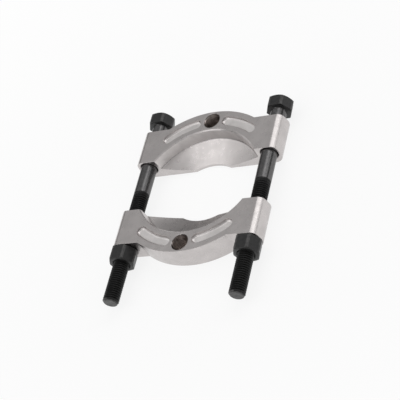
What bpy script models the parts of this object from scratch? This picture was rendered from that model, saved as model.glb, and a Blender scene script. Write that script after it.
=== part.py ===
"""Bearing separator: two wedge-edged steel halves on two bolts with nuts.

The two equal halves face each other across a gap. Each is an arch with a bolt ear at either end
and a conical plate inside, which thins to a knife edge at the straight parting face. The bolts
run through both halves, heads behind the rear half and nuts on the front half's ears.

+X runs from the left bolt to the right one, +Y from the nuts to the heads, +Z up.
The origin is the centre of the bounding box's base.
"""
import math

import bmesh
import bpy
from mathutils import Matrix

MM = 0.001

# Layout
HALF_GAP = 50 * MM
HEAD_GAP = 9.8 * MM
THREAD_BEYOND_NUT = 37.4 * MM
SEAT_GAP = 0.3 * MM

# Half: ears and height
EAR_DEPTH = 34.5 * MM
EAR_BEYOND_BOLT = 9.5 * MM
TOP_ABOVE_BOLT = 9.5 * MM
BASE_BELOW_BOLT = 12.5 * MM
EAR_TOP_ROUND = 6 * MM
EAR_BASE_ROUND = 10 * MM
EAR_SIDE_DRAFT = math.radians(8)
EAR_HOLE_CLEARANCE = 0.75 * MM
EAR_WALL = 2.7 * MM
EDGE_BREAK = 0.9 * MM

# Half: arch, plate and knife edge, all about one centre in front of the parting face
ARCH_INNER_R = 59 * MM
ARCH_WIDTH = 20 * MM
ARCH_CENTRE_IN_FRONT = 32 * MM
NOTCH_R = 36.3 * MM
KNIFE_EDGE = 2.55 * MM
PLATE_SLOPE = math.radians(20)
WALL_DRAFT = math.radians(4)
CREASE_ROUND = 2 * MM

# Half: puller hole, a little outside the arch's middle line, and the forged slots beside it
PULLER_BORE_R = 7 * MM
PULLER_ACROSS_ARCH = 0.53
PULLER_CHAMFER = 1 * MM
SLOT_WIDTH = 9.4 * MM
SLOT_DEPTH = 2.4 * MM
SLOT_FLOOR_ROUND = 2.2 * MM
SLOT_START = math.radians(12.6)
SLOT_END = math.radians(37.1)

# Bolts and nuts
BOLT_R = 7 * MM
THREAD_R = 6.9 * MM
THREAD_LENGTH = 109 * MM
TIP_CHAMFER = 1.3 * MM
HEX_ACROSS_FLATS = 21 * MM
HEX_CHAMFER = math.radians(30)
HEX_FACE_SHARE = 0.95
HEAD_HEIGHT = 11.2 * MM
WASHER_FACE = 0.5 * MM
SHANK_ROUND = 0.5 * MM
NUT_HEIGHT = 14.5 * MM
NUT_BORE_CLEARANCE = 0.3 * MM
NUT_COUNTERSINK = 0.9 * MM
NUT_TURNS = {"left": math.radians(-1), "right": math.radians(-3)}
SIDES = {"left": -1, "right": 1}

# Facets
ROUND_STEPS = 48
ARCH_STEPS = 120
CORNER_STEPS = 6
SHARP_ANGLE = math.radians(25)
OVERCUT = 4 * MM

# Worked out from the values above
ARCH_OUTER_R = ARCH_INNER_R + ARCH_WIDTH
PITCH_R = ARCH_INNER_R + ARCH_WIDTH / 2
PULLER_R = ARCH_INNER_R + ARCH_WIDTH * PULLER_ACROSS_ARCH
ARCH_DEPTH = ARCH_OUTER_R - ARCH_CENTRE_IN_FRONT
EAR_HOLE_R = BOLT_R + EAR_HOLE_CLEARANCE
ARCH_MOUTH = math.sqrt(ARCH_INNER_R**2 - ARCH_CENTRE_IN_FRONT**2)
BOLT_X = ARCH_MOUTH + EAR_WALL + EAR_HOLE_R
HEX_CORNER_R = HEX_ACROSS_FLATS / math.sqrt(3)
BOLT_REACH = SEAT_GAP + NUT_HEIGHT + THREAD_BEYOND_NUT
BOLT_LENGTH = BOLT_REACH + 2 * EAR_DEPTH + HALF_GAP + HEAD_GAP
OVERALL_LENGTH = BOLT_LENGTH + HEAD_HEIGHT

# Places along Y, with the bounding box centred, and the height of the bolt axes
TIP_Y = -OVERALL_LENGTH / 2
FRONT_FACE_Y = TIP_Y + BOLT_REACH
FRONT_PARTING_Y = FRONT_FACE_Y + EAR_DEPTH
REAR_PARTING_Y = FRONT_PARTING_Y + HALF_GAP
HEAD_FACE_Y = TIP_Y + BOLT_LENGTH
NUT_FACE_Y = FRONT_FACE_Y - SEAT_GAP
AXIS_Z = BASE_BELOW_BOLT


def clear_scene():
    for obj in list(bpy.data.objects):
        bpy.data.objects.remove(obj, do_unlink=True)


def new_collection(name):
    collection = bpy.data.collections.new(name)
    bpy.context.scene.collection.children.link(collection)
    return collection


def new_material(name, colour, roughness):
    material = bpy.data.materials.new(name)
    material.use_nodes = True
    shader = material.node_tree.nodes["Principled BSDF"]
    shader.inputs["Base Color"].default_value = (*colour, 1)
    shader.inputs["Metallic"].default_value = 1
    shader.inputs["Roughness"].default_value = roughness
    return material


def add_object(name, mesh, collection):
    obj = bpy.data.objects.new(name, mesh)
    collection.objects.link(obj)
    return obj


def evaluated_mesh(obj, name):
    """The object's mesh with its modifiers applied, welded where a curve's caps are loose."""
    depsgraph = bpy.context.evaluated_depsgraph_get()
    mesh = bpy.data.meshes.new_from_object(obj.evaluated_get(depsgraph))
    mesh.name = name
    bm = bmesh.new()
    bm.from_mesh(mesh)
    bmesh.ops.remove_doubles(bm, verts=bm.verts, dist=1e-6)
    bmesh.ops.recalc_face_normals(bm, faces=bm.faces)
    bm.to_mesh(mesh)
    bm.free()
    return mesh


def arc(centre, radius, start, end, steps=CORNER_STEPS):
    """Points on an arc, with the angles measured from the second axis towards the first."""
    angles = [start + (end - start) * i / steps for i in range(steps + 1)]
    return [(centre[0] + radius * math.sin(a), centre[1] + radius * math.cos(a)) for a in angles]


def extruded(name, outline, height, collection, edge_round=0.0):
    """A flat outline in XY, extruded to either side of it, as a mesh object."""
    curve = bpy.data.curves.new(name, "CURVE")
    curve.dimensions = "2D"
    curve.fill_mode = "BOTH"
    curve.extrude = height / 2 - edge_round
    curve.bevel_depth = edge_round
    curve.offset = -edge_round
    curve.bevel_resolution = 3
    spline = curve.splines.new("POLY")
    spline.points.add(len(outline) - 1)
    for point, (x, y) in zip(spline.points, outline):
        point.co = (x, y, 0, 1)
    spline.use_cyclic_u = True
    guide = add_object(name + "_outline", curve, collection)
    obj = add_object(name, evaluated_mesh(guide, name), collection)
    bpy.data.objects.remove(guide, do_unlink=True)
    return obj


def turned(name, profile, collection, steps=ROUND_STEPS):
    """A profile of (radius, height) points, from the top down, turned about Z."""
    mesh = bpy.data.meshes.new(name)
    bm = bmesh.new()
    verts = [bm.verts.new((radius, 0, height)) for radius, height in profile]
    for upper, lower in zip(verts, verts[1:]):
        bm.edges.new((upper, lower))
    bm.to_mesh(mesh)
    bm.free()
    obj = add_object(name, mesh, collection)
    screw = obj.modifiers.new("turn", "SCREW")
    screw.axis = "Z"
    screw.steps = steps
    screw.render_steps = steps
    screw.use_merge_vertices = True
    screw.merge_threshold = 1e-6
    return obj


def combine(obj, other, operation):
    """Add a Boolean with another object, which stays as a guide."""
    boolean = obj.modifiers.new(other.name, "BOOLEAN")
    boolean.operation = operation
    boolean.object = other
    other.hide_render = True
    other.display_type = "WIRE"


def half_section(collection):
    """The half's section across the parting face, with its rounded ends, run back from that face."""
    top_z = TOP_ABOVE_BOLT - EAR_TOP_ROUND
    base_z = EAR_BASE_ROUND - BASE_BELOW_BOLT
    top_x = BOLT_X + EAR_BEYOND_BOLT - EAR_TOP_ROUND
    # the drafted side is tangent to both rounds
    lean = math.tan(EAR_SIDE_DRAFT)
    base_x = top_x + (top_z - base_z) * lean - (EAR_BASE_ROUND - EAR_TOP_ROUND) / math.cos(EAR_SIDE_DRAFT)
    side = math.pi / 2 - EAR_SIDE_DRAFT
    right = arc((top_x, top_z), EAR_TOP_ROUND, 0, side)
    right += arc((base_x, base_z), EAR_BASE_ROUND, side, math.pi)
    left = [(-x, z) for x, z in reversed(right)]
    length = ARCH_DEPTH + OVERCUT
    section = extruded("half_section", right + left, length, collection)
    upright = Matrix.Rotation(math.pi / 2, 4, "X")
    section.data.transform(Matrix.Translation((0, length / 2, 0)) @ upright)
    return section


def half_plan(collection):
    """Seen from above: the ears' outer faces with the arch standing out between them."""
    side = BOLT_X + 2 * EAR_BEYOND_BOLT
    meet = math.acos((EAR_DEPTH + ARCH_CENTRE_IN_FRONT) / ARCH_OUTER_R)
    crown = arc((0, -ARCH_CENTRE_IN_FRONT), ARCH_OUTER_R, -meet, meet, ARCH_STEPS // 3)
    outline = [(-side, -OVERCUT), (-side, EAR_DEPTH)] + crown + [(side, EAR_DEPTH), (side, -OVERCUT)]
    height = TOP_ABOVE_BOLT + BASE_BELOW_BOLT + 2 * OVERCUT
    plan = extruded("half_plan", outline, height, collection)
    plan.location.z = (TOP_ABOVE_BOLT - BASE_BELOW_BOLT) / 2
    return plan


def recess_cutter(collection):
    """The arch's inner wall, the conical plate and the notch in its edge, turned about one centre."""
    top = TOP_ABOVE_BOLT
    edge_z = KNIFE_EDGE - BASE_BELOW_BOLT
    slope = math.tan(PLATE_SLOPE)
    lean = math.tan(WALL_DRAFT)
    # the drafted wall and the cone would meet at this sharp corner
    rise = (ARCH_INNER_R - NOTCH_R) * slope - (top - edge_z) * slope * lean
    corner_z = edge_z + rise / (1 - slope * lean)
    corner_r = ARCH_INNER_R - (top - corner_z) * lean
    # a tangent arc rounds it
    turn = math.pi / 2 - PLATE_SLOPE - WALL_DRAFT
    reach = CREASE_ROUND * math.tan(turn / 2)
    wall_end = (corner_r + reach * math.sin(WALL_DRAFT), corner_z + reach * math.cos(WALL_DRAFT))
    centre = (
        wall_end[0] - CREASE_ROUND * math.cos(WALL_DRAFT),
        wall_end[1] + CREASE_ROUND * math.sin(WALL_DRAFT),
    )
    crease = arc(centre, CREASE_ROUND, math.pi / 2 + WALL_DRAFT, math.pi - PLATE_SLOPE)
    profile = [
        (0, top + OVERCUT),
        (ARCH_INNER_R + EDGE_BREAK + OVERCUT, top + OVERCUT),
        (ARCH_INNER_R - EDGE_BREAK * lean, top - EDGE_BREAK),
    ]
    profile += crease
    profile += [
        (NOTCH_R, edge_z),
        (NOTCH_R, -BASE_BELOW_BOLT - OVERCUT),
        (0, -BASE_BELOW_BOLT - OVERCUT),
    ]
    cutter = turned("recess_cutter", profile, collection, ARCH_STEPS)
    cutter.location.y = -ARCH_CENTRE_IN_FRONT
    return cutter


def slot_cutter(side, collection):
    """A curved slot with round ends, on the arch's middle line."""
    centre = (0, -ARCH_CENTRE_IN_FRONT)
    half = SLOT_WIDTH / 2
    start = side * SLOT_START
    end = side * SLOT_END
    turn = side * math.pi
    outer = arc(centre, PITCH_R + half, start, end, 12)
    inner = arc(centre, PITCH_R - half, end, start, 12)
    first = arc(centre, PITCH_R, start, start, 1)[0]
    last = arc(centre, PITCH_R, end, end, 1)[0]
    outline = outer[:-1] + arc(last, half, end, end + turn)
    outline += inner[1:-1] + arc(first, half, start + turn, start + 2 * turn)[:-1]
    height = 2 * SLOT_DEPTH + 2 * SLOT_FLOOR_ROUND
    name = "slot_cutter_right" if side > 0 else "slot_cutter_left"
    cutter = extruded(name, outline, height, collection, SLOT_FLOOR_ROUND)
    cutter.location.z = TOP_ABOVE_BOLT - SLOT_DEPTH + height / 2
    return cutter


def puller_hole_cutter(collection):
    """The bore for a puller's screw, chamfered at both mouths."""
    wide = PULLER_BORE_R + PULLER_CHAMFER + OVERCUT
    top = TOP_ABOVE_BOLT
    base = -BASE_BELOW_BOLT
    profile = [
        (0, top + OVERCUT),
        (wide, top + OVERCUT),
        (PULLER_BORE_R, top - PULLER_CHAMFER),
        (PULLER_BORE_R, base + PULLER_CHAMFER),
        (wide, base - OVERCUT),
        (0, base - OVERCUT),
    ]
    cutter = turned("puller_hole_cutter", profile, collection)
    cutter.location.y = PULLER_R - ARCH_CENTRE_IN_FRONT
    return cutter


def ear_hole_cutter(side, collection):
    """The clearance hole for a bolt, with its edges broken on both faces."""
    wide = EAR_HOLE_R + EDGE_BREAK + OVERCUT
    profile = [
        (0, EAR_DEPTH + OVERCUT),
        (wide, EAR_DEPTH + OVERCUT),
        (EAR_HOLE_R, EAR_DEPTH - EDGE_BREAK),
        (EAR_HOLE_R, EDGE_BREAK),
        (wide, -OVERCUT),
        (0, -OVERCUT),
    ]
    name = "ear_hole_cutter_right" if side > 0 else "ear_hole_cutter_left"
    cutter = turned(name, profile, collection)
    cutter.rotation_euler.x = -math.pi / 2
    cutter.location.x = side * BOLT_X
    return cutter


def half_mesh(material, cutters):
    """One half: the parting face's middle at the bolts' height is its origin, +Y into the arch."""
    half = half_section(cutters)
    combine(half, half_plan(cutters), "INTERSECT")
    edges = half.modifiers.new("edge_break", "BEVEL")
    edges.width = EDGE_BREAK
    edges.segments = 2
    edges.limit_method = "ANGLE"
    edges.angle_limit = math.radians(60)
    combine(half, recess_cutter(cutters), "DIFFERENCE")
    combine(half, puller_hole_cutter(cutters), "DIFFERENCE")
    for side in (-1, 1):
        combine(half, slot_cutter(side, cutters), "DIFFERENCE")
        combine(half, ear_hole_cutter(side, cutters), "DIFFERENCE")
    return finished(half, material)


def hexagon(name, base, height, collection):
    """A hexagonal prism about Z with two of its corners on the X axis."""
    mesh = bpy.data.meshes.new(name)
    bm = bmesh.new()
    bmesh.ops.create_cone(
        bm, cap_ends=True, segments=6, radius1=HEX_CORNER_R, radius2=HEX_CORNER_R, depth=height
    )
    bmesh.ops.rotate(bm, verts=bm.verts, matrix=Matrix.Rotation(math.pi / 2, 3, "Z"))
    bmesh.ops.translate(bm, verts=bm.verts, vec=(0, 0, base + height / 2))
    bm.to_mesh(mesh)
    bm.free()
    return add_object(name, mesh, collection)


def hex_barrel(name, height, both_ends, collection):
    """The turned shape whose cone takes the hexagon's corners off at one end or at both."""
    flat_r = HEX_ACROSS_FLATS / 2 * HEX_FACE_SHARE
    outer_r = HEX_CORNER_R + OVERCUT
    drop = (outer_r - flat_r) * math.tan(HEX_CHAMFER)
    profile = [(0, height), (flat_r, height), (outer_r, height - drop)]
    if both_ends:
        profile += [(outer_r, drop), (flat_r, 0), (0, 0)]
    else:
        profile += [(outer_r, -OVERCUT), (0, -OVERCUT)]
    return turned(name, profile, collection)


def bolt_mesh(material, cutters):
    """A hex-head bolt: the head's bearing face is at its origin, the head towards +Z."""
    bolt = hexagon("bolt", WASHER_FACE, HEAD_HEIGHT - WASHER_FACE, cutters)
    combine(bolt, hex_barrel("bolt_barrel", HEAD_HEIGHT, False, cutters), "INTERSECT")
    washer_r = HEX_ACROSS_FLATS / 2 * HEX_FACE_SHARE
    thread_top = THREAD_LENGTH - BOLT_LENGTH
    profile = [
        (0, HEAD_HEIGHT / 2),
        (washer_r - WASHER_FACE, HEAD_HEIGHT / 2),
        (washer_r, WASHER_FACE),
        (washer_r, 0),
        (BOLT_R + SHANK_ROUND, 0),
    ]
    profile += arc((BOLT_R + SHANK_ROUND, -SHANK_ROUND), SHANK_ROUND, 0, -math.pi / 2, 3)[1:]
    profile += [
        (BOLT_R, thread_top + BOLT_R - THREAD_R),
        (THREAD_R, thread_top),
        (THREAD_R, TIP_CHAMFER - BOLT_LENGTH),
        (THREAD_R - TIP_CHAMFER, -BOLT_LENGTH),
        (0, -BOLT_LENGTH),
    ]
    combine(bolt, turned("bolt_shank", profile, cutters), "UNION")
    return finished(bolt, material)


def nut_mesh(material, cutters):
    """A hex nut: its bearing face is at its origin, its outer face towards -Z."""
    nut = hexagon("nut", -NUT_HEIGHT, NUT_HEIGHT, cutters)
    barrel = hex_barrel("nut_barrel", NUT_HEIGHT, True, cutters)
    barrel.location.z = -NUT_HEIGHT
    combine(nut, barrel, "INTERSECT")
    bore_r = THREAD_R + NUT_BORE_CLEARANCE
    wide = bore_r + NUT_COUNTERSINK + OVERCUT
    profile = [
        (0, OVERCUT),
        (wide, OVERCUT),
        (bore_r, -NUT_COUNTERSINK),
        (bore_r, NUT_COUNTERSINK - NUT_HEIGHT),
        (wide, -NUT_HEIGHT - OVERCUT),
        (0, -NUT_HEIGHT - OVERCUT),
    ]
    combine(nut, turned("nut_bore", profile, cutters), "DIFFERENCE")
    return finished(nut, material)


def finished(obj, material):
    """The object's mesh with its Booleans applied, shaded smooth between sharp edges."""
    bpy.context.view_layer.update()
    mesh = evaluated_mesh(obj, obj.name)
    bpy.data.objects.remove(obj, do_unlink=True)
    mesh.materials.clear()
    mesh.materials.append(material)
    mesh.shade_smooth()
    mesh.set_sharp_from_angle(angle=SHARP_ANGLE)
    return mesh


def add_on_bolt_axis(name, mesh, side, y, turn, parts):
    """Lay a turned piece on a bolt's axis, its own +Z towards the heads, and turn it."""
    obj = add_object(name, mesh, parts)
    along_y = Matrix.Rotation(-math.pi / 2, 4, "X")
    spot = Matrix.Translation((SIDES[side] * BOLT_X, y, AXIS_Z))
    obj.matrix_world = spot @ along_y @ Matrix.Rotation(turn, 4, "Z")


def build():
    clear_scene()
    parts = new_collection("bearing_separator")
    cutters = new_collection("cutters")
    steel = new_material("forged_steel", (0.60, 0.59, 0.58), 0.35)
    black = new_material("black_oxide", (0.035, 0.035, 0.036), 0.4)

    mesh = half_mesh(steel, cutters)
    front = add_object("front_half", mesh, parts)
    front.location = (0, FRONT_PARTING_Y, AXIS_Z)
    front.rotation_euler.z = math.pi
    rear = add_object("rear_half", mesh, parts)
    rear.location = (0, REAR_PARTING_Y, AXIS_Z)

    bolt = bolt_mesh(black, cutters)
    nut = nut_mesh(black, cutters)
    for side in SIDES:
        add_on_bolt_axis("bolt_" + side, bolt, side, HEAD_FACE_Y, 0, parts)
        add_on_bolt_axis("nut_" + side, nut, side, NUT_FACE_Y, NUT_TURNS[side], parts)


build()
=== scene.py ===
"""Looks of the bearing separator: real threads, materials, light and camera round the CAD frame.

+X runs from the left bolt to the right one, +Y from the nuts to the heads, +Z up. Metres.
"""
import math

import bmesh
import bpy
from mathutils import Matrix, Vector


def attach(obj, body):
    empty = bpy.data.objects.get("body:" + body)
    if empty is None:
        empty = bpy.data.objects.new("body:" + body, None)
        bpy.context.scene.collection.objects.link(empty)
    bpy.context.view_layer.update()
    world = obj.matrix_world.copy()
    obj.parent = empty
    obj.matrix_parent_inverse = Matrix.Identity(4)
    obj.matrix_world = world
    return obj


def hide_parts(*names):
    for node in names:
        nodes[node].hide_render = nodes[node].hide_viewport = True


MM = 0.001

# Sizes that the finished pieces share with the CAD
BOLT_X = 60.018 * MM
AXIS_Z = 12.5 * MM
HEAD_FACE_Y = 84.9 * MM
NUT_FACE_Y = -44.2 * MM
BOLT_LENGTH = 181 * MM
BOLT_R = 7 * MM
THREAD_LENGTH = 109 * MM
TIP_CHAMFER = 1.3 * MM
HEX_ACROSS_FLATS = 21 * MM
HEAD_HEIGHT = 11.2 * MM
WASHER_FACE = 0.5 * MM
WASHER_R = 9.98 * MM
NUT_HEIGHT = 14.5 * MM
NUT_TURNS = {"left": math.radians(-1), "right": math.radians(-3)}
SIDES = {"left": -1, "right": 1}
HALF_TOP = 22 * MM
PULLER_HOLES = {"front": -47 * MM, "rear": 78.2 * MM}
ARCH_CENTRES = {"front": 22.6 * MM, "rear": 8.6 * MM}
WALL_RS = (54 * MM, 61 * MM)
WALL_FOOT_Z = 8 * MM
SLOT_RING_R = 69 * MM
SLOT_HALF_WIDTH = 4.3 * MM
SLOT_XS = (9 * MM, 50 * MM)
SLOT_ZS = (18 * MM, 21.5 * MM)
EAR_HOLE_REACH = 9 * MM
FLAT_YS = [-43.9 * MM, -9.4 * MM, 40.6 * MM, 75.1 * MM]

# Rounds of the halves: centre across, centre height, radius
EAR_TOP = (63.518 * MM, 16 * MM, 6 * MM)
EAR_BASE = (60.322 * MM, 10 * MM, 10 * MM)
CREASE = (56.293 * MM, 11.955 * MM, 2 * MM)

# Threads
PITCH = 2 * MM
CREST_R = 6.9 * MM
ROOT_R = 5.75 * MM
RUNOUT = 5 * MM
NUT_PLAY = 0.15 * MM
COUNTERSINK = 1.05 * MM
PULLER_CREST_R = 7.06 * MM
PULLER_ROOT_R = 8 * MM
PULLER_HOLE_REACH = 1.15 * PULLER_ROOT_R
PULLER_END_GAP = 0.2 * MM
PULLER_CHAMFER = 0.95 * MM
CREST_SHARE = 0.14
FLANK_SHARE = 0.332
ROW_SHARES = [0, CREST_SHARE, CREST_SHARE + FLANK_SHARE, 1 - FLANK_SHARE]
THREAD_SLACK = 0.1 * MM

# Fine rounding
HEX_CHAMFER = math.radians(30)
CORNER_ROUND = 0.5 * MM
CORNER_STEPS = 3
FLAT_STEPS = 9
RIM_ROUND = 0.25 * MM
RIM_DROP = 0.7 * RIM_ROUND
WASHER_ROUND = 0.08 * MM
FILLET_REACH = 0.5 * MM
FILLET_STEP = 0.15 * MM
SHANK_END = 0.4 * MM
SHANK_FROM_Z = -0.2 * MM
CUT_EDGE_ROUND = 0.4 * MM
# Past this radius the hex corners take a lighter black: oxide rubbed off by wear plus a painted edge
# highlight
WORN_AND_HIGHLIT_FROM_R = 11.5 * MM
RIM_ANGLE = math.radians(40)
SHARP_ANGLE = math.radians(32)
WELD = 0.002 * MM
FLAT_EDGE = 0.001 * MM
NEAR = 0.01 * MM
SMALL_FACET = 0.02 * MM * MM

# Limits that a facet's normal keeps where it counts as steep, level, facing a way or turned
STEEP = 0.2
LEVEL = 0.85
FACING = 0.9
TURNED = 0.04

# Lamps and floor
PANEL_DISTANCE = 1.5
PANEL_AIM_Z = 10 * MM
FLOOR_R = 600 * MM
FLOOR_GAP = 0.2 * MM
SHADOW_R = 120 * MM
GLOW_SHARE = 0.85
SET_SEGMENTS = 64

# How bright the room is at each share of its height, from the white horizon up
ROOM_R = 4
WALL_LEVEL = 0.15
CEILING_LEVEL = 0.5
STUDIO = [(0.0, 1.0), (0.04, 1.0), (0.12, WALL_LEVEL), (0.30, WALL_LEVEL), (0.6, CEILING_LEVEL)]

# Grain of the finishes, as noise scales in a metre, and how deep their bumps are
CLOUD_RANGE = (0.35, 0.65)
SHEEN_RANGE = (0.3, 0.7)
STEEL_CLOUD = 90
STEEL_SHEEN = 260
BLACK_CLOUD = 400
BLACK_SHEEN = 300
BLACK_GRAIN = 1800
BLACK_DEPTH = 0.06
BUMP_HEIGHT = 0.1 * MM

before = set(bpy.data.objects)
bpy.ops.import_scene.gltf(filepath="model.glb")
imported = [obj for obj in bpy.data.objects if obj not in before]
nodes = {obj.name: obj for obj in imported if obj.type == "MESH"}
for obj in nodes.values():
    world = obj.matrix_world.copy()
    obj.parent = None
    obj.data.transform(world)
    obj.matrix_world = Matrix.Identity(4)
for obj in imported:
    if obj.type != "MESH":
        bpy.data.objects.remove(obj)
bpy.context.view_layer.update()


def place_camera():
    """The camera stands where the photograph was taken from, solved from the object's edges."""
    right = Vector((0.8572726, 0.2165443, -0.4671105))
    down = Vector((-0.0921972, -0.8280222, -0.5530632))
    forward = Vector((-0.5065405, 0.5171922, -0.6898760))
    rotation = Matrix((right, -down, -forward)).transposed().to_4x4()
    data = bpy.data.cameras.new("camera")
    data.sensor_width = 36
    data.lens = 110.64
    data.clip_start = 0.05
    data.clip_end = 20
    camera = bpy.data.objects.new("camera", data)
    bpy.context.scene.collection.objects.link(camera)
    camera.matrix_world = Matrix.Translation((0.52792, -0.53598, 0.72812)) @ rotation
    bpy.context.scene.camera = camera


def hex_outline():
    """A hexagon's outline with rounded corners, two of them on the X axis."""
    half_flat = HEX_ACROSS_FLATS / 2
    centre_r = (half_flat - CORNER_ROUND) / math.cos(math.pi / 6)
    points = []
    for corner in range(6):
        middle = corner * math.pi / 3
        centre = Vector((math.cos(middle), math.sin(middle))) * centre_r
        for step in range(CORNER_STEPS + 1):
            angle = middle + (step / CORNER_STEPS - 0.5) * math.pi / 3
            points.append(centre + Vector((math.cos(angle), math.sin(angle))) * CORNER_ROUND)
        start = points[-1]
        turned = Matrix.Rotation(math.pi / 3, 2)
        end = turned @ points[-CORNER_STEPS - 1]
        for step in range(1, FLAT_STEPS):
            points.append(start.lerp(end, step / FLAT_STEPS))
    return points


# Every ring of a bolt or nut has its points at the hexagon's angles, in the same order
OUTLINE = hex_outline()
ANGLES = [math.atan2(point.y, point.x) for point in OUTLINE]
ANGLES = [angle if angle >= ANGLES[0] - 1e-9 else angle + 2 * math.pi for angle in ANGLES]
COUNT = len(ANGLES)


def circle(radius, height):
    return [Vector((radius * math.cos(a), radius * math.sin(a), height)) for a in ANGLES]


def hexagon(inset, height_at):
    """The hexagon's outline moved in by the inset, each point at the height for its radius."""
    ring = []
    for point in OUTLINE:
        moved = point * (1 - inset / point.length)
        ring.append(Vector((moved.x, moved.y, height_at(moved.length))))
    return ring


def thread_radius(share, crest, root):
    """The radius at a share of the pitch: crest, flank, root, flank."""
    if share < CREST_SHARE:
        return crest
    if share < CREST_SHARE + FLANK_SHARE:
        return crest + (root - crest) * (share - CREST_SHARE) / FLANK_SHARE
    if share < 1 - FLANK_SHARE:
        return root
    return root + (crest - root) * (share - 1 + FLANK_SHARE) / FLANK_SHARE


def thread_rows(low, high, origin, turn, crest, root, limit):
    """Rows of a right-hand thread between two heights, from the top down.

    Each row follows the helix, so it rises one pitch in a turn. The origin is the height of the
    mesh's zero along the bolt, and the turn its angle about it, so that threads that engage match.
    """
    first = math.floor((low + origin) / PITCH) - 2
    last = math.ceil((high + origin) / PITCH) + 2
    rows = []
    for number in range(last, first - 1, -1):
        for share in reversed(ROW_SHARES):
            row = []
            for angle in ANGLES:
                height = (number + share) * PITCH + PITCH * (angle + turn) / (2 * math.pi) - origin
                height = min(max(height, low), high)
                radius = limit(thread_radius(share, crest, root), height)
                row.append(Vector((radius * math.cos(angle), radius * math.sin(angle), height)))
            rows.append(row)
    return rows


def skin(bm, rings):
    """Quads between each ring and the next."""
    made = [[bm.verts.new(point) for point in ring] for ring in rings]
    for upper, lower in zip(made, made[1:]):
        for i in range(COUNT):
            j = (i + 1) % COUNT
            bm.faces.new((upper[i], upper[j], lower[j], lower[i]))
    return made


def thread_skin(bm, rows):
    """Quads between a thread's rows, which join up one pitch further on after a whole turn."""
    made = [[bm.verts.new(point) for point in row] for row in rows]
    for upper, lower in zip(made, made[1:]):
        for i in range(COUNT - 1):
            bm.faces.new((upper[i], upper[i + 1], lower[i + 1], lower[i]))
    turn = len(ROW_SHARES)
    for k in range(len(made) - turn - 1):
        bm.faces.new((made[k + turn][-1], made[k][0], made[k + 1][0], made[k + turn + 1][-1]))


def finished(name, bm):
    """Weld the mesh, drop what the weld left flat and shade it smooth between sharp edges."""
    bmesh.ops.remove_doubles(bm, verts=bm.verts, dist=WELD)
    bmesh.ops.dissolve_degenerate(bm, edges=bm.edges, dist=FLAT_EDGE)
    loose = [vert for vert in bm.verts if not vert.link_faces]
    bmesh.ops.delete(bm, geom=loose, context="VERTS")
    bmesh.ops.recalc_face_normals(bm, faces=bm.faces)
    mesh = bpy.data.meshes.new(name)
    bm.to_mesh(mesh)
    bm.free()
    mesh.shade_smooth()
    mesh.set_sharp_from_angle(angle=SHARP_ANGLE)
    return mesh


def bolt_mesh():
    """A hex-head bolt with a rolled thread: its bearing face is at zero, the head towards +Z."""
    bm = bmesh.new()
    cone = math.tan(HEX_CHAMFER)

    def chamfer(radius):
        return HEAD_HEIGHT - max(radius - WASHER_R, 0) * cone

    thread_top = THREAD_LENGTH - BOLT_LENGTH
    rings = [
        circle(WASHER_R / 2, HEAD_HEIGHT),
        circle(WASHER_R - RIM_ROUND, HEAD_HEIGHT),
        circle(WASHER_R + RIM_ROUND, HEAD_HEIGHT - RIM_DROP),
        hexagon(RIM_ROUND, chamfer),
        hexagon(0, lambda radius: chamfer(radius) - RIM_ROUND),
        hexagon(0, lambda radius: WASHER_FACE + RIM_ROUND),
        hexagon(RIM_ROUND, lambda radius: WASHER_FACE),
        circle(WASHER_R, WASHER_FACE * 0.9),
        circle(WASHER_R, WASHER_ROUND),
        circle(WASHER_R - WASHER_ROUND, 0),
        circle(BOLT_R + FILLET_REACH, 0),
        circle(BOLT_R + FILLET_STEP, -FILLET_STEP),
        circle(BOLT_R, -FILLET_REACH),
        circle(BOLT_R, thread_top + SHANK_END),
        circle(CREST_R, thread_top),
    ]
    made = skin(bm, rings)
    bm.faces.new(made[0])

    def limit(radius, height):
        run = min(max((thread_top - height) / RUNOUT, 0), 1)
        radius = CREST_R + (radius - CREST_R) * run
        return min(radius, CREST_R - TIP_CHAMFER + height + BOLT_LENGTH)

    rows = thread_rows(-BOLT_LENGTH, thread_top, HEAD_FACE_Y, 0, CREST_R, ROOT_R, limit)
    thread_skin(bm, rows)
    tip = CREST_R - TIP_CHAMFER
    made = skin(bm, [circle(tip, -BOLT_LENGTH), circle(tip / 2, -BOLT_LENGTH)])
    bm.faces.new(reversed(made[1]))
    return finished("bolt", bm)


def nut_mesh(turn):
    """A hex nut with its own thread: its bearing face is at zero, its outer face towards -Z."""
    bm = bmesh.new()
    cone = math.tan(HEX_CHAMFER)
    mouth_r = CREST_R + NUT_PLAY + COUNTERSINK

    def drop(radius):
        return max(radius - WASHER_R, 0) * cone

    rings = [
        circle(mouth_r, 0),
        circle(WASHER_R - RIM_ROUND, 0),
        circle(WASHER_R + RIM_ROUND, -RIM_DROP),
        hexagon(RIM_ROUND, lambda radius: -drop(radius)),
        hexagon(0, lambda radius: -drop(radius) - RIM_ROUND),
        hexagon(0, lambda radius: drop(radius) + RIM_ROUND - NUT_HEIGHT),
        hexagon(RIM_ROUND, lambda radius: drop(radius) - NUT_HEIGHT),
        circle(WASHER_R + RIM_ROUND, RIM_DROP - NUT_HEIGHT),
        circle(WASHER_R - RIM_ROUND, -NUT_HEIGHT),
        circle(mouth_r, -NUT_HEIGHT),
    ]
    skin(bm, rings)

    def limit(radius, height):
        return max(radius, mouth_r + height, mouth_r - NUT_HEIGHT - height)

    crest = CREST_R + NUT_PLAY
    root = ROOT_R + NUT_PLAY
    rows = thread_rows(-NUT_HEIGHT, 0, NUT_FACE_Y, turn, crest, root, limit)
    thread_skin(bm, rows)
    return finished("nut", bm)


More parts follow.
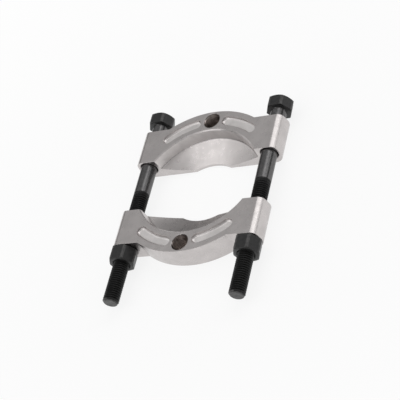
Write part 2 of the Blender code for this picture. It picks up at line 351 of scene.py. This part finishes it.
def puller_cutter(y):
    """A screw-shaped body that cuts the puller hole's thread, fading out in both chamfers."""
    bm = bmesh.new()
    low = PULLER_END_GAP
    high = HALF_TOP - PULLER_END_GAP

    def limit(radius, height):
        return min(radius, PULLER_CREST_R + min(height - low, high - height))

    rows = thread_rows(low, high, 0, 0, PULLER_ROOT_R, PULLER_CREST_R, limit)
    thread_skin(bm, rows)
    for height, order in ((high, 1), (low, -1)):
        bm.faces.new([bm.verts.new(point) for point in circle(PULLER_CREST_R, height)[::order]])
    cutter = bpy.data.objects.new("puller_cutter", finished("puller_cutter", bm))
    cutter.location = (0, y, 0)
    bpy.context.scene.collection.objects.link(cutter)
    return cutter


def applied(obj):
    """Swap the object's mesh for the one that its modifiers make."""
    bpy.context.view_layer.update()
    depsgraph = bpy.context.evaluated_depsgraph_get()
    mesh = bpy.data.meshes.new_from_object(obj.evaluated_get(depsgraph))
    obj.modifiers.clear()
    obj.data = mesh
    mesh.shade_smooth()
    mesh.set_sharp_from_angle(angle=SHARP_ANGLE)


def round_top_rims(half):
    """Round the rims that the recess, the slots and the puller hole leave in the top face."""
    bm = bmesh.new()
    bm.from_mesh(half.data)
    weights = bm.edges.layers.float.new("bevel_weight_edge")
    for edge in bm.edges:
        on_top = all(abs(vert.co.z - HALF_TOP) < NEAR for vert in edge.verts)
        if on_top and len(edge.link_faces) == 2 and edge.calc_face_angle() > RIM_ANGLE:
            edge[weights] = 1
    bm.to_mesh(half.data)
    bm.free()
    rims = half.modifiers.new("rims", "BEVEL")
    rims.limit_method = "WEIGHT"
    rims.width = CUT_EDGE_ROUND
    rims.segments = 2
    applied(half)


def join_split_edges(mesh):
    """Take out the vertices that only split an edge, so that each face keeps its own triangles."""
    bm = bmesh.new()
    bm.from_mesh(mesh)
    splits = [vert for vert in bm.verts if len(vert.link_edges) == 2]
    bmesh.ops.dissolve_verts(bm, verts=splits)
    bm.to_mesh(mesh)
    bm.free()


def corner_normal(point, normal, middle, arch_y):
    """The true surface's normal at a corner of a facet, or zero where the facet is left as it is."""
    outward = Vector((point.x, point.y - arch_y, 0))
    radius = outward.length
    outward.normalize()
    # rounds along the ears
    side = math.copysign(1, middle.x)
    for centre_x, centre_z, round_r in (EAR_TOP, EAR_BASE):
        arm = Vector((point.x - side * centre_x, 0, point.z - centre_z))
        if abs(arm.length - round_r) < NEAR and abs(normal.y) < NEAR:
            return arm.normalized()
    # the crease between the plate and the arch's wall
    arm = Vector((CREASE[0] - radius, CREASE[1] - point.z))
    if abs(arm.length - CREASE[2]) < NEAR:
        arm.normalize()
        return outward * arm.x + Vector((0, 0, arm.y))
    # the plate, the walls and the crown are turned about the arch's axis
    centre = Vector((middle.x, middle.y - arch_y, 0)).normalized()
    across = centre.cross(Vector((0, 0, 1)))
    if abs(normal.dot(across)) < TURNED:
        tilt = Vector((normal.dot(centre), normal.z)).normalized()
        return outward * tilt.x + Vector((0, 0, tilt.y))
    return Vector((0, 0, 0))


def true_normals(mesh, arch_y, hole_y):
    """Shade the turned and rounded surfaces as if they had no facets."""
    flats = [(2, 0), (2, HALF_TOP)] + [(1, y) for y in FLAT_YS]
    normals = [Vector((0, 0, 0))] * len(mesh.loops)
    for face in mesh.polygons:
        points = [mesh.vertices[i].co for i in face.vertices]
        flat = any(all(abs(p[axis] - at) < NEAR for p in points) for axis, at in flats)
        puller = math.hypot(face.center.x, face.center.y - hole_y)
        bolt = math.hypot(abs(face.center.x) - BOLT_X, face.center.z - AXIS_Z)
        in_hole = puller < PULLER_HOLE_REACH or bolt < EAR_HOLE_REACH and abs(face.normal.y) < FACING
        if in_hole and not flat:
            continue
        for loop in face.loop_indices:
            point = mesh.vertices[mesh.loops[loop].vertex_index].co
            if flat:
                normals[loop] = face.normal.copy()
            elif face.area > SMALL_FACET:
                normals[loop] = corner_normal(point, face.normal, face.center, arch_y)
    mesh.normals_split_custom_set(normals)


def between(value, limits):
    return limits[0] < value < limits[1]


def finish_of_half(face, arch_y, hole_y):
    """0 for steel, 1 for a slot's floor painted lighter as painted light, 2 for the hole's darker, browner
    thread, 3 for the arch's wall painted lighter as painted light.
    """
    centre = face.center
    outward = Vector((centre.x, centre.y - arch_y))
    steep = abs(face.normal.z) < STEEP
    if steep and between(outward.length, WALL_RS) and centre.z > WALL_FOOT_Z and face.area > SMALL_FACET:
        if outward.normalized().dot(face.normal.xy) < -FACING:
            return 3
    in_hole = math.hypot(centre.x, centre.y - hole_y) < PULLER_ROOT_R + NEAR
    if in_hole and centre.z < HALF_TOP - PULLER_CHAMFER:
        return 2
    on_ring = abs(outward.length - SLOT_RING_R) < SLOT_HALF_WIDTH
    in_slot = on_ring and between(abs(centre.x), SLOT_XS) and between(centre.z, SLOT_ZS)
    return 1 if in_slot and face.normal.z > LEVEL else 0


def finish_of_bolt(face):
    """0 for the head, 1 for the shank, 2 for the thread, 3 for the lighter corners and the tip's chamfer:
    oxide rubbed off by wear plus a painted highlight.
    """
    if face.center.z < TIP_CHAMFER - BOLT_LENGTH:
        return 3
    if face.center.z < THREAD_LENGTH - BOLT_LENGTH:
        return 2
    if face.center.z < SHANK_FROM_Z:
        return 1
    return 3 if math.hypot(face.center.x, face.center.y) > WORN_AND_HIGHLIT_FROM_R else 0


def finish_of_nut(face):
    """0 for the outside, 1 for the thread, 2 for the lighter corners: oxide rubbed off by wear plus a painted
    highlight.
    """
    radius = math.hypot(face.center.x, face.center.y)
    if radius < CREST_R + NUT_PLAY + THREAD_SLACK:
        return 1
    return 2 if radius > WORN_AND_HIGHLIT_FROM_R else 0


def dress(mesh, materials, choose):
    mesh.materials.clear()
    for material in materials:
        mesh.materials.append(material)
    for face in mesh.polygons:
        face.material_index = choose(face)


def finished_half(side):
    """The CAD's half with its top rims rounded and a real thread in its puller hole."""
    node = nodes[side + "_half"]
    half = bpy.data.objects.new(side + "_half_threaded", node.data.copy())
    bpy.context.scene.collection.objects.link(half)
    cutter = puller_cutter(PULLER_HOLES[side])
    boolean = half.modifiers.new("thread", "BOOLEAN")
    boolean.operation = "DIFFERENCE"
    boolean.solver = "EXACT"
    boolean.object = cutter
    applied(half)
    bpy.data.objects.remove(cutter, do_unlink=True)
    round_top_rims(half)
    join_split_edges(half.data)
    true_normals(half.data, ARCH_CENTRES[side], PULLER_HOLES[side])
    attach(half, side + "_half")
    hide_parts(side + "_half")
    return half


def add_on_bolt_axis(name, mesh, side, y, turn, body):
    """Lay a turned piece on a bolt's axis, its own +Z towards the heads, and turn it."""
    piece = bpy.data.objects.new(name, mesh)
    bpy.context.scene.collection.objects.link(piece)
    along_y = Matrix.Rotation(-math.pi / 2, 4, "X")
    spot = Matrix.Translation((SIDES[side] * BOLT_X, y, AXIS_Z))
    mesh.transform(spot @ along_y @ Matrix.Rotation(turn, 4, "Z"))
    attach(piece, body)
    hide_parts(body)
    return piece


def add_softbox(name, direction, size, radiance):
    """A soft panel that looks at the object from that direction."""
    data = bpy.data.lights.new(name, "AREA")
    data.shape = "RECTANGLE"
    data.size, data.size_y = size
    data.energy = radiance * math.pi * size[0] * size[1]
    light = bpy.data.objects.new(name, data)
    bpy.context.scene.collection.objects.link(light)
    away = Vector(direction).normalized()
    light.location = Vector((0, 0, PANEL_AIM_Z)) + away * PANEL_DISTANCE
    light.rotation_euler = away.to_track_quat("Z", "Y").to_euler()


def seen_directly(tree):
    """1 for what the camera, a mirror or glass shows, 0 for the light that falls on the object."""
    path = tree.nodes.new("ShaderNodeLightPath")
    value = path.outputs["Is Camera Ray"]
    for ray in ("Is Glossy Ray", "Is Transmission Ray"):
        highest = tree.nodes.new("ShaderNodeMath")
        highest.operation = "MAXIMUM"
        tree.links.new(value, highest.inputs[0])
        tree.links.new(path.outputs[ray], highest.inputs[1])
        value = highest.outputs["Value"]
    return value


def make_world():
    """A plain white backdrop, the same for the camera, metal and glass."""
    world = bpy.data.worlds.new("backdrop")
    bpy.context.scene.world = world
    world.use_nodes = True
    background = world.node_tree.nodes["Background"]
    background.inputs["Color"].default_value = (1, 1, 1, 1)
    background.inputs["Strength"].default_value = 1


def set_piece(name, bm, material_name):
    """A piece of the set, its material, and the one node that the material is left with."""
    mesh = bpy.data.meshes.new(name)
    bm.to_mesh(mesh)
    bm.free()
    piece = bpy.data.objects.new(name, mesh)
    bpy.context.scene.collection.objects.link(piece)
    material = bpy.data.materials.new(material_name)
    material.use_nodes = True
    material.node_tree.nodes.clear()
    output = material.node_tree.nodes.new("ShaderNodeOutputMaterial")
    mesh.materials.append(material)
    return piece, material, output


def make_room():
    """The studio: white at the horizon, dim walls above it and a lighter ceiling."""
    bm = bmesh.new()
    bmesh.ops.create_uvsphere(bm, u_segments=SET_SEGMENTS, v_segments=SET_SEGMENTS, radius=1)
    below = [vert for vert in bm.verts if vert.co.z < -NEAR]
    bmesh.ops.delete(bm, geom=below, context="VERTS")
    room, material, output = set_piece("room", bm, "room_grey")
    room.scale = (ROOM_R, ROOM_R, ROOM_R)
    material.cycles.emission_sampling = "NONE"
    tree = material.node_tree
    glow = tree.nodes.new("ShaderNodeEmission")
    place = tree.nodes.new("ShaderNodeTexCoord")
    parts = tree.nodes.new("ShaderNodeSeparateXYZ")
    tree.links.new(place.outputs["Object"], parts.inputs["Vector"])
    ramp = tree.nodes.new("ShaderNodeValToRGB")
    tree.links.new(parts.outputs["Z"], ramp.inputs["Fac"])
    stops = ramp.color_ramp.elements
    while len(stops) < len(STUDIO):
        stops.new(0.5)
    for stop, (height, level) in zip(stops, STUDIO):
        stop.position = height
        stop.color = (level, level, level, 1)
    tree.links.new(ramp.outputs["Color"], glow.inputs["Color"])
    tree.links.new(glow.outputs["Emission"], output.inputs["Surface"])


def make_floor():
    """A white floor that keeps a soft shadow round the object and fades into the backdrop."""
    bm = bmesh.new()
    bmesh.ops.create_circle(bm, cap_ends=True, segments=SET_SEGMENTS, radius=FLOOR_R)
    floor, material, output = set_piece("floor", bm, "floor_white")
    floor.location.z = -FLOOR_GAP
    tree = material.node_tree
    glow = tree.nodes.new("ShaderNodeEmission")
    glow.inputs["Color"].default_value = (1, 1, 1, 1)
    glow.inputs["Strength"].default_value = 1
    paint = tree.nodes.new("ShaderNodeBsdfDiffuse")
    paint.inputs["Color"].default_value = (0.95, 0.95, 0.95, 1)
    mix = tree.nodes.new("ShaderNodeMixShader")
    place = tree.nodes.new("ShaderNodeTexCoord")
    distance = tree.nodes.new("ShaderNodeVectorMath")
    distance.operation = "LENGTH"
    tree.links.new(place.outputs["Object"], distance.inputs[0])
    fade = tree.nodes.new("ShaderNodeMapRange")
    fade.inputs["From Min"].default_value = SHADOW_R
    fade.inputs["From Max"].default_value = FLOOR_R
    fade.inputs["To Min"].default_value = GLOW_SHARE
    fade.inputs["To Max"].default_value = 1
    tree.links.new(distance.outputs["Value"], fade.inputs["Value"])
    share = tree.nodes.new("ShaderNodeMath")
    share.operation = "MULTIPLY"
    tree.links.new(fade.outputs["Result"], share.inputs[0])
    tree.links.new(seen_directly(tree), share.inputs[1])
    tree.links.new(share.outputs["Value"], mix.inputs["Fac"])
    tree.links.new(paint.outputs["BSDF"], mix.inputs[1])
    tree.links.new(glow.outputs["Emission"], mix.inputs[2])
    tree.links.new(mix.outputs["Shader"], output.inputs["Surface"])


class Nodes:
    """Short ways to build one material's node tree."""

    def __init__(self, name):
        self.material = bpy.data.materials.new(name)
        self.material.use_nodes = True
        self.tree = self.material.node_tree
        self.shader = self.tree.nodes["Principled BSDF"]
        self.place = self.tree.nodes.new("ShaderNodeTexCoord").outputs["Object"]

    def link(self, source, target):
        self.tree.links.new(source, target)

    def noise(self, scale, detail):
        node = self.tree.nodes.new("ShaderNodeTexNoise")
        node.inputs["Scale"].default_value = scale
        node.inputs["Detail"].default_value = detail
        self.link(self.place, node.inputs["Vector"])
        return node.outputs["Fac"]

    def spread(self, value, source, low=0, high=1):
        """The value, spread from its source range to run from low to high."""
        node = self.tree.nodes.new("ShaderNodeMapRange")
        node.inputs["From Min"].default_value = source[0]
        node.inputs["From Max"].default_value = source[1]
        node.inputs["To Min"].default_value = low
        node.inputs["To Max"].default_value = high
        self.link(value, node.inputs["Value"])
        return node.outputs["Result"]

    def colours(self, noise, dark, light):
        """Clouds between two colours; a colour mix has them at inputs 6 and 7 and output 2."""
        node = self.tree.nodes.new("ShaderNodeMix")
        node.data_type = "RGBA"
        node.inputs[6].default_value = (*dark, 1)
        node.inputs[7].default_value = (*light, 1)
        self.link(self.spread(noise, CLOUD_RANGE), node.inputs[0])
        self.link(node.outputs[2], self.shader.inputs["Base Color"])

    def roughness(self, noise, low, high):
        self.link(self.spread(noise, SHEEN_RANGE, low, high), self.shader.inputs["Roughness"])

    def bump(self, height, strength):
        node = self.tree.nodes.new("ShaderNodeBump")
        node.inputs["Strength"].default_value = strength
        node.inputs["Distance"].default_value = BUMP_HEIGHT
        self.link(height, node.inputs["Height"])
        self.link(node.outputs["Normal"], self.shader.inputs["Normal"])


def steel_material(name, dark, light, low, high, grain, depth):
    """Steel that clouds from dark to light, with its roughness from low to high and a fine grain."""
    n = Nodes(name)
    n.shader.inputs["Metallic"].default_value = 1
    n.colours(n.noise(STEEL_CLOUD, 4), dark, light)
    n.roughness(n.noise(STEEL_SHEEN, 3), low, high)
    n.bump(n.noise(grain, 2), depth)
    return n.material


def black_material(name, dark, light, low, high, metallic=0, specular=0.5):
    """Blackened steel: an oxide coat, or with metallic 1 a polished dark metal."""
    n = Nodes(name)
    n.shader.inputs["Metallic"].default_value = metallic
    n.shader.inputs["Specular IOR Level"].default_value = specular
    n.colours(n.noise(BLACK_CLOUD, 4), dark, light)
    n.roughness(n.noise(BLACK_SHEEN, 3), low, high)
    n.bump(n.noise(BLACK_GRAIN, 2), BLACK_DEPTH)
    return n.material


place_camera()
bpy.context.scene.view_settings.view_transform = "Standard"
make_world()
make_room()
make_floor()
add_softbox("right_back_panel", (0.70, 0.57, 0.44), (0.85, 0.9), 1.0)
add_softbox("back_panel", (0.27, 0.52, 0.81), (1.3, 0.8), 1.15)
add_softbox("overhead_panel", (-0.45, -0.2, 0.87), (1.2, 1.0), 0.95)
add_softbox("left_panel", (-0.9, 0.05, 0.35), (0.8, 1.0), 0.55)
add_softbox("front_panel", (0.05, -0.85, 0.5), (0.8, 0.6), 0.8)
add_softbox("front_left_panel", (-0.55, -0.65, 0.5), (0.8, 0.6), 0.9)
add_softbox("side_panel", (0.6, -0.3, 0.75), (0.8, 0.8), 0.15)

steel = steel_material("satin_steel", (0.54, 0.512, 0.505), (0.60, 0.568, 0.56), 0.26, 0.34, 700, 0.03)
# Slot floors: a rougher finish, with a base painted lighter than the steel as painted light on the floors.
slot_floor_lit = steel_material("slot_floor_painted_light", (0.70, 0.675, 0.665), (0.82, 0.79, 0.78), 0.42, 0.52, 900, 0.12)
# The arch's inner wall: a rougher finish, with a base painted lighter than the steel as painted light on the
# wall.
arch_wall_lit = steel_material("arch_wall_painted_light", (0.68, 0.65, 0.64), (0.78, 0.745, 0.735), 0.44, 0.54, 700, 0.1)
# Inside the puller hole's thread: steel darker and browner than the rest.
hole_thread_dark = steel_material("dark_hole_thread", (0.12, 0.098, 0.088), (0.50, 0.44, 0.41), 0.28, 0.42, 900, 0.1)
oxide = black_material("black_oxide", (0.008, 0.008, 0.0085), (0.017, 0.0165, 0.0165), 0.33, 0.48)
# Lighter black on the hex corners and the bolt's tip: oxide rubbed off by wear plus a painted edge highlight.
worn_and_highlit = black_material("worn_and_highlit_edge", (0.030, 0.029, 0.029), (0.075, 0.073, 0.072), 0.3, 0.45)
polished = black_material("black_shank", (0.115, 0.113, 0.115), (0.15, 0.147, 0.147), 0.16, 0.22, metallic=1)
# The thread's black, darker than the head's: the oxide's own colour plus painted shade between the turns.
rolled = black_material("black_thread_and_shade", (0.004, 0.004, 0.004), (0.008, 0.008, 0.008), 0.4, 0.55, specular=0.3)

for side in ("front", "rear"):
    half = finished_half(side)
    arch_y = ARCH_CENTRES[side]
    hole_y = PULLER_HOLES[side]
    dress(half.data, (steel, slot_floor_lit, hole_thread_dark, arch_wall_lit), lambda face: finish_of_half(face, arch_y, hole_y))
for side in SIDES:
    turn = NUT_TURNS[side]
    bolt = bolt_mesh()
    dress(bolt, (oxide, polished, rolled, worn_and_highlit), finish_of_bolt)
    nut = nut_mesh(turn)
    dress(nut, (oxide, rolled, worn_and_highlit), finish_of_nut)
    for name, mesh, y, angle in (("bolt_", bolt, HEAD_FACE_Y, 0), ("nut_", nut, NUT_FACE_Y, turn)):
        piece = add_on_bolt_axis(name + side + "_threaded", mesh, side, y, angle, name + side)
